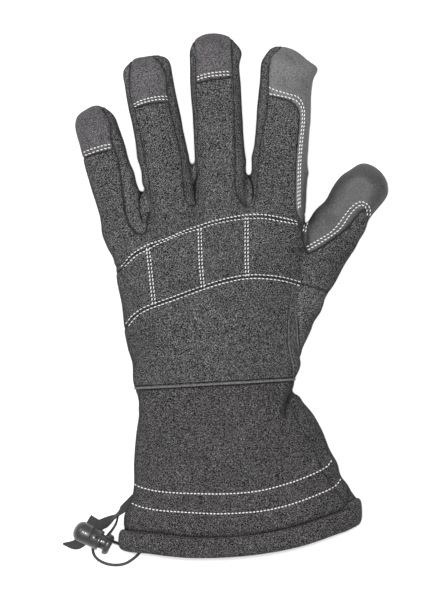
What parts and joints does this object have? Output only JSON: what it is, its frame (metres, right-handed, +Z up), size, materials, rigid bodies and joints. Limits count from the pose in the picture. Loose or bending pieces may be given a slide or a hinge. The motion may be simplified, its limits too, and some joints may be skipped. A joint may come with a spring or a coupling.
{
  "type": "work glove",
  "caption": "Padded soft-shell work glove for the left hand with knuckle panel, fingertip caps, leather palm and thumb, flared gauntlet, rolled hem and cord lock.",
  "frame": {"origin": "middle of the glove's outline on the surface that it lies on", "axes": "+X towards the thumb's side, +Y towards the fingertips, +Z up, out of the back of the hand"},
  "size_m": [0.1931, 0.3205, 0.0497],
  "materials": {
    "softshell": "heathered grey soft-shell, matte",
    "gusset_fabric": "darker soft-shell, matte",
    "cap_fabric": "smooth fine-knit grey with a faint purple cast",
    "leather": "light grey synthetic leather, satin",
    "thread": "off-white sewing thread",
    "lining": "dark brushed fleece inside the glove",
    "webbing": "dark woven ribbon",
    "lock_plastic": "moulded dark grey plastic, satin",
    "elastic": "black braided elastic cord"
  },
  "bodies": {
    "glove": {"finger_backs": "softshell", "knuckle_panel": "softshell", "hand_back": "softshell", "heel_panel": "softshell", "fourchette_pinky_ring": "gusset_fabric", "fourchette_ring_middle": "gusset_fabric", "fourchette_middle_index": "gusset_fabric", "cap_pinky": "cap_fabric", "cap_ring": "cap_fabric", "cap_middle": "cap_fabric", "index_patch": "leather", "thumb_patch": "leather", "thumb_front": "leather", "finger_front_pinky": "leather", "finger_front_ring": "leather", "finger_front_middle": "leather", "finger_front_index": "leather", "palm": "leather", "wrist_seam": "softshell", "gauntlet_back": "softshell", "gauntlet_under": "softshell", "hem_tunnel": "softshell", "ribbon_tab": "webbing", "lock_barrel": "lock_plastic", "elastic_cord": "elastic"},
    "plunger": {"lock_plunger": "lock_plastic"}
  },
  "joints": [
    {"name": "lock_press", "type": "slide", "parent": "glove", "child": "plunger", "axis": [-0.8988, 0.4384, 0], "range_m": [0, 0.003], "stiffness_N_per_m": 500, "springref_m": -0.0015}
  ]
}
